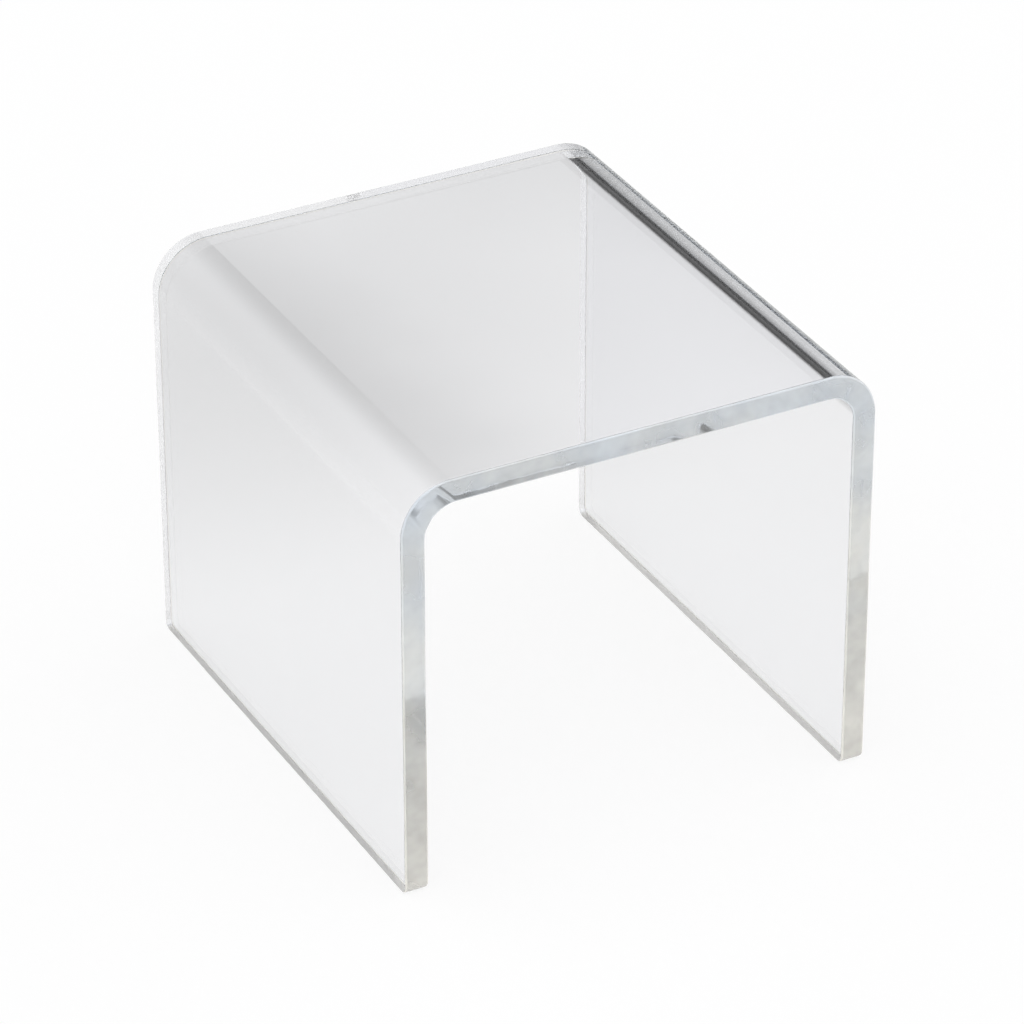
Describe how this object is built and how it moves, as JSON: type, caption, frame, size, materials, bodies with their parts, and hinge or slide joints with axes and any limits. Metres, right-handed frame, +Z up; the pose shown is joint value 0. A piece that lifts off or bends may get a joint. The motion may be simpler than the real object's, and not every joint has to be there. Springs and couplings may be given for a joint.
{
  "type": "acrylic display riser",
  "caption": "Clear acrylic sheet bent into an upside-down U, with a flat platform on upright legs, to raise a small exhibit and leave a space open under it.",
  "frame": {"origin": "on the table under the middle of the platform, midway between the legs and midway front to back", "axes": "+X across the legs, +Y from the front edge to the back edge, +Z up"},
  "size_m": [0.102, 0.11, 0.09],
  "materials": {
    "clear_acrylic": "clear cast acrylic, gloss faces, flame-polished edges"
  },
  "bodies": {
    "root": {"riser_sheet": "clear_acrylic"}
  },
  "joints": []
}
